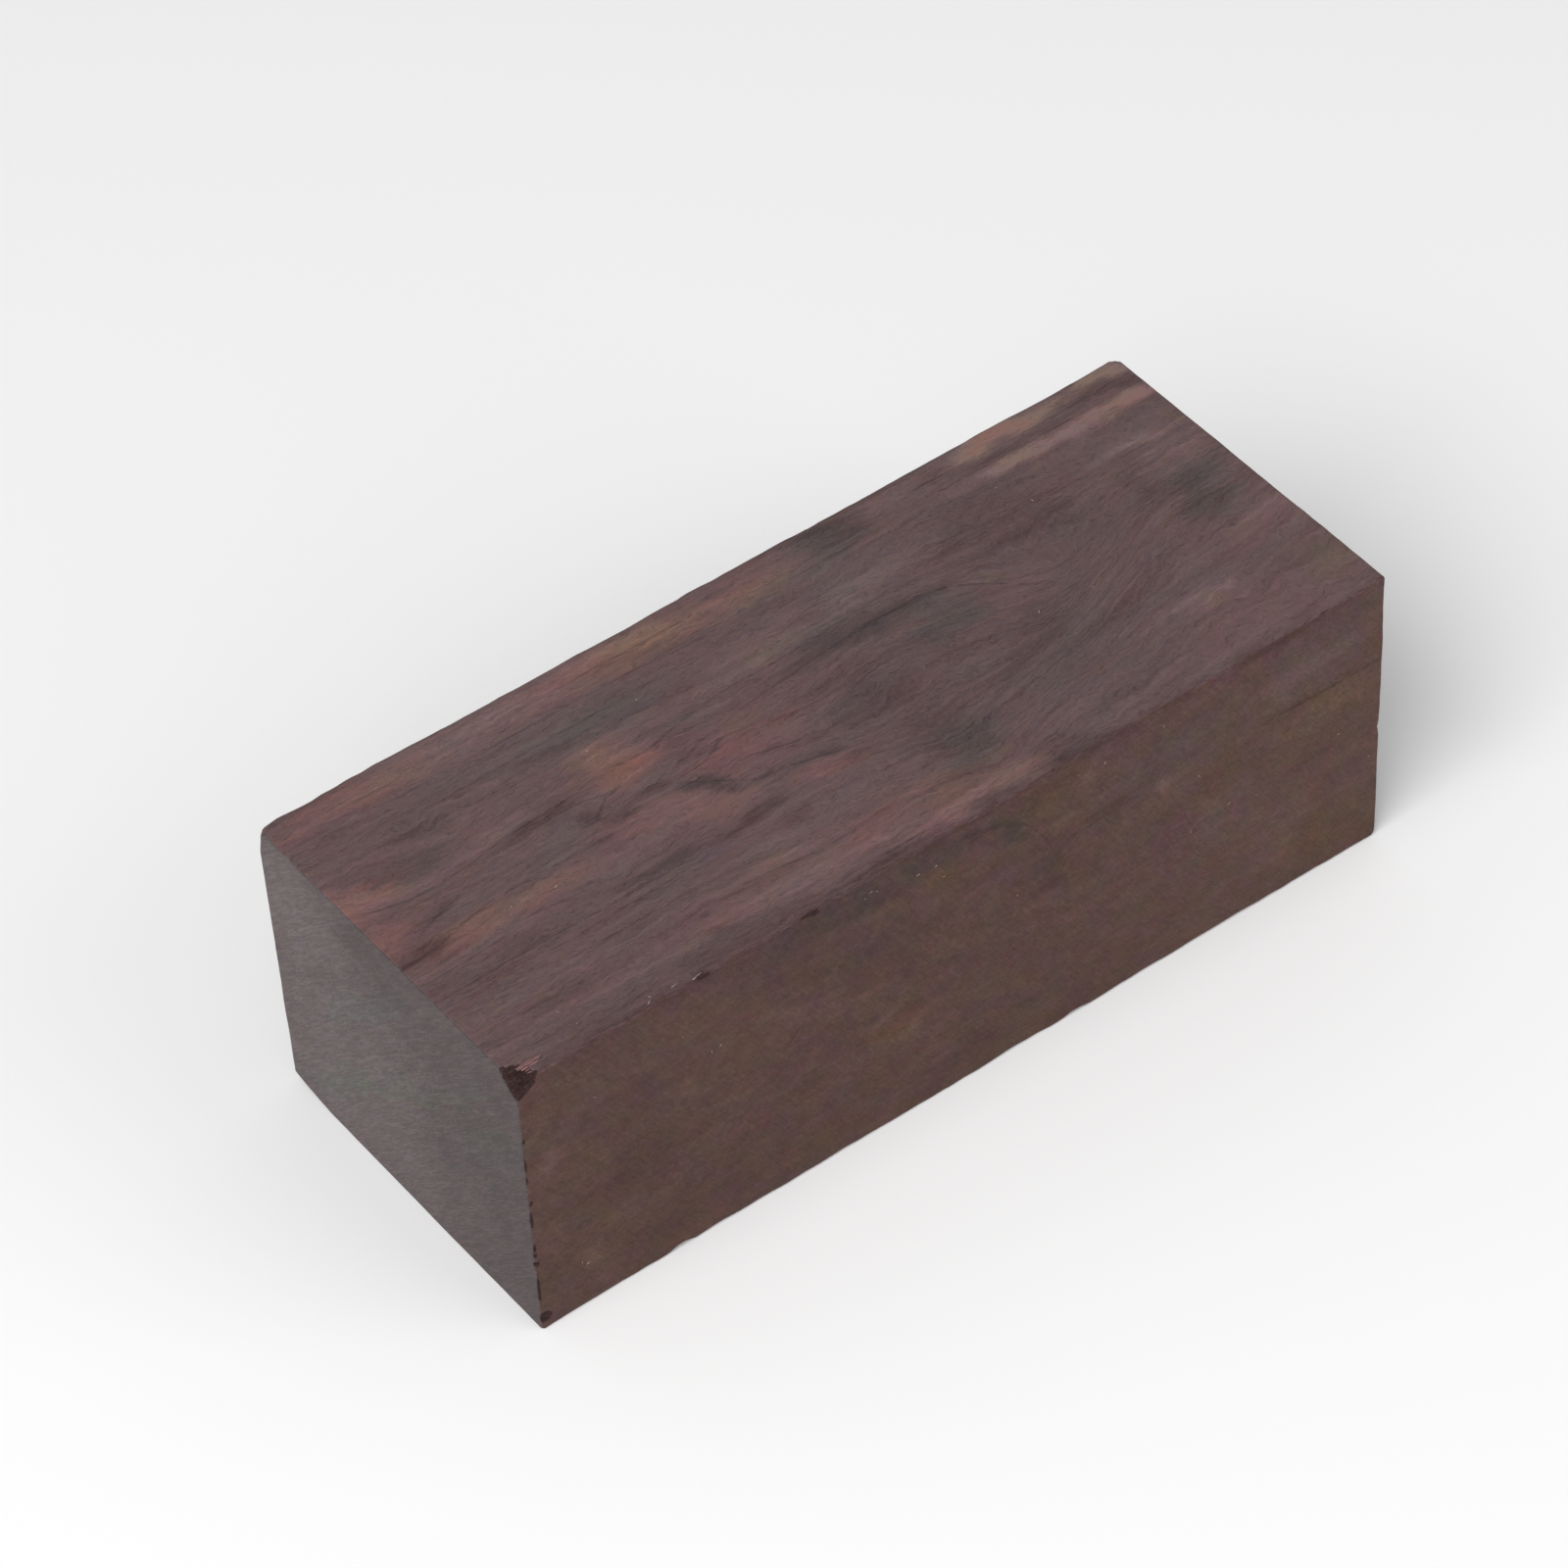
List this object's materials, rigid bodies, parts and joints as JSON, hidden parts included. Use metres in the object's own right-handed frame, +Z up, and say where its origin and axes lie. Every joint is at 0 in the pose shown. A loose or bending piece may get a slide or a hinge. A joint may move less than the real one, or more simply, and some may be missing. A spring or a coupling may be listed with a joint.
{
  "type": "ebony wood blank",
  "caption": "Rectangular block of dark purplish brown wood, sawn a little out of square, with leaning ends, softened edges, a chipped corner and small nicks.",
  "frame": {"origin": "middle of the block's footprint, at the height of the surface it lies on", "axes": "+X along the length and the grain towards the far end, +Y from the front to the back across the width, +Z up through the height"},
  "size_m": [0.1199, 0.0496, 0.04],
  "materials": {
    "ebony_wood": "sawn, unpolished"
  },
  "bodies": {
    "root": {"wood_blank": "ebony_wood"}
  },
  "joints": []
}
